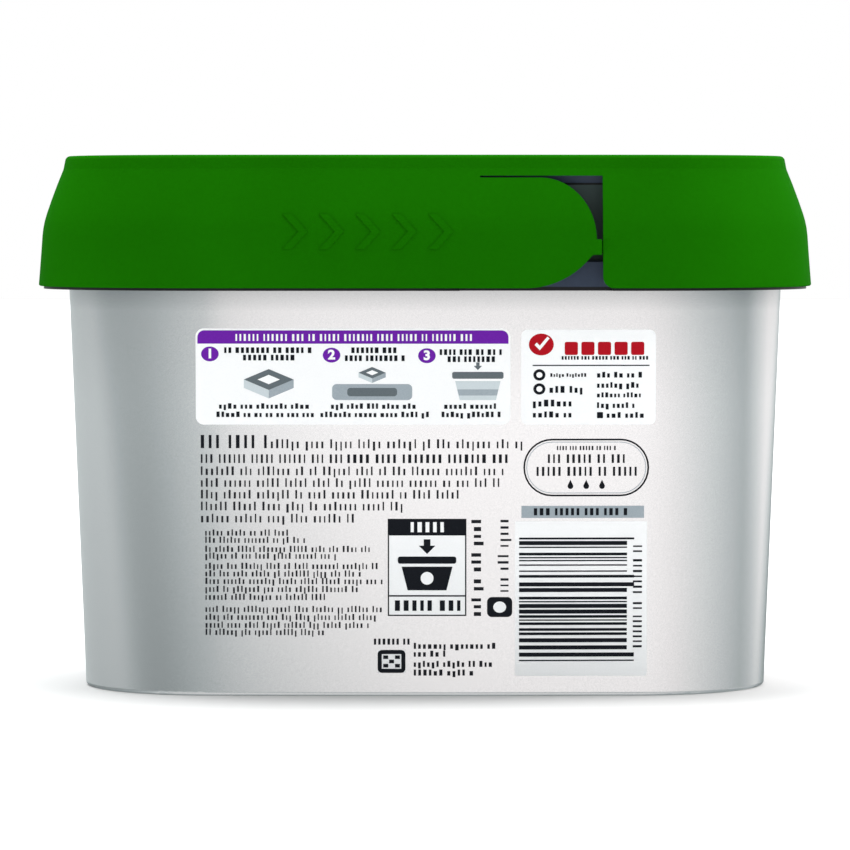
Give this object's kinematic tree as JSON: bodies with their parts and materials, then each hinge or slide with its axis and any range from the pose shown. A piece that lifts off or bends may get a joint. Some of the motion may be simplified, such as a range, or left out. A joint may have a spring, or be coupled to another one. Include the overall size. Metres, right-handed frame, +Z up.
{
  "type": "dishwasher tablet tub",
  "caption": "Rounded rectangular storage tub for dishwasher tablets, with a wrap label, a deep lift-off lid with tear tabs, and the tablets stacked inside.",
  "frame": {"origin": "middle of the base, in the plane of the standing ring", "axes": "+X along the long side, +Z up; the pictured side faces -Y"},
  "size_m": [0.2106, 0.1366, 0.1439],
  "materials": {
    "tub": "moulded, dark slate",
    "label": "silver printed film",
    "lid": "moulded, satin green",
    "tablet": "filmed tablet"
  },
  "bodies": {
    "tub": {"tub": "tub", "wrap_label": "label", "tablets": "tablet"},
    "lid": {"lid": "lid"}
  },
  "joints": [
    {"name": "lid_lift", "type": "slide", "parent": "tub", "child": "lid", "axis": [0, 0, 1], "range_m": [0, 0.08]}
  ]
}
